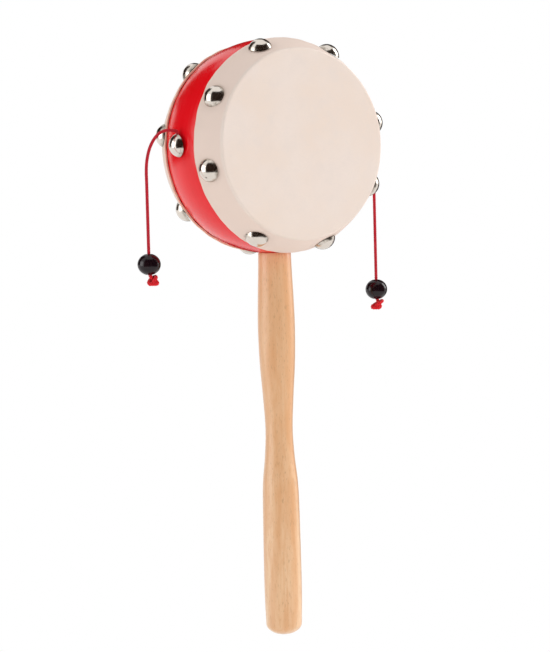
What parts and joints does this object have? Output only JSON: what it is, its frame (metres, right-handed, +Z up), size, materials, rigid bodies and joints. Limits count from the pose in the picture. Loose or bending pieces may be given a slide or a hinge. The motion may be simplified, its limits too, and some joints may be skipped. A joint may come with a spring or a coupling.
{
  "type": "spin drum",
  "caption": "Hand-held spin drum: a shallow red barrel shell with tacked skin heads on a turned wooden handle, and corded beads that swing round and strike the heads.",
  "frame": {"origin": "on the handle's axis at the middle of the grip, where a hand holds the drum", "axes": "+Z up along the handle to the drum, +Y along the drum's axis from the front head to the rear head, +X to the right seen from the front head"},
  "size_m": [0.1349, 0.0532, 0.277],
  "materials": {
    "red_paint": "turned wood under glossy red paint",
    "drum_skin": "thin pale hide, matt, faintly mottled",
    "nickel": "bright nickel plate on pressed steel",
    "beech": "natural beech, sanded and satin sealed",
    "red_cord": "fine braided cord",
    "black_lacquer": "wooden bead under glossy black lacquer"
  },
  "bodies": {
    "drum": {"shell": "red_paint", "front_head": "drum_skin", "rear_head": "drum_skin", "handle": "beech", "front_tack_1": "nickel", "front_tack_2": "nickel", "front_tack_3": "nickel", "front_tack_4": "nickel", "front_tack_5": "nickel", "front_tack_6": "nickel", "front_tack_7": "nickel", "front_tack_8": "nickel", "rear_tack_1": "nickel", "rear_tack_2": "nickel", "rear_tack_3": "nickel", "rear_tack_4": "nickel", "rear_tack_5": "nickel", "rear_tack_6": "nickel", "rear_tack_7": "nickel", "rear_tack_8": "nickel", "left_cord_tack": "nickel", "right_cord_tack": "nickel", "left_cord_pinned_end": "red_cord", "right_cord_pinned_end": "red_cord"},
    "left_hump": {"left_cord_upper": "red_cord"},
    "left_drop": {"left_cord_lower": "red_cord", "left_knot": "red_cord"},
    "left_striker": {"left_bead": "black_lacquer"},
    "right_hump": {"right_cord_upper": "red_cord"},
    "right_drop": {"right_cord_lower": "red_cord", "right_knot": "red_cord"},
    "right_striker": {"right_bead": "black_lacquer"}
  },
  "joints": [
    {"name": "left_cord_swing", "type": "hinge", "parent": "drum", "child": "left_hump", "pos_m": [-0.0505, 0, 0.1971], "axis": [-0.8128, 0, 0.5826], "range_deg": [-90, 90]},
    {"name": "left_cord_fold", "type": "hinge", "parent": "left_hump", "child": "left_drop", "pos_m": [-0.0667, 0, 0.1745], "axis": [0, -1, 0], "range_deg": [-110, 47]},
    {"name": "left_bead_slide", "type": "slide", "parent": "left_drop", "child": "left_striker", "axis": [0, 0, -1], "range_m": [-0.025, 0]},
    {"name": "right_cord_swing", "type": "hinge", "parent": "drum", "child": "right_hump", "pos_m": [0.0506, 0, 0.1883], "axis": [0.891, 0, 0.454], "range_deg": [-90, 90]},
    {"name": "right_cord_fold", "type": "hinge", "parent": "right_hump", "child": "right_drop", "pos_m": [0.0578, 0, 0.1611], "axis": [0, 1, 0], "range_deg": [-110, 56]},
    {"name": "right_bead_slide", "type": "slide", "parent": "right_drop", "child": "right_striker", "axis": [0, 0, -1], "range_m": [-0.025, 0]}
  ]
}
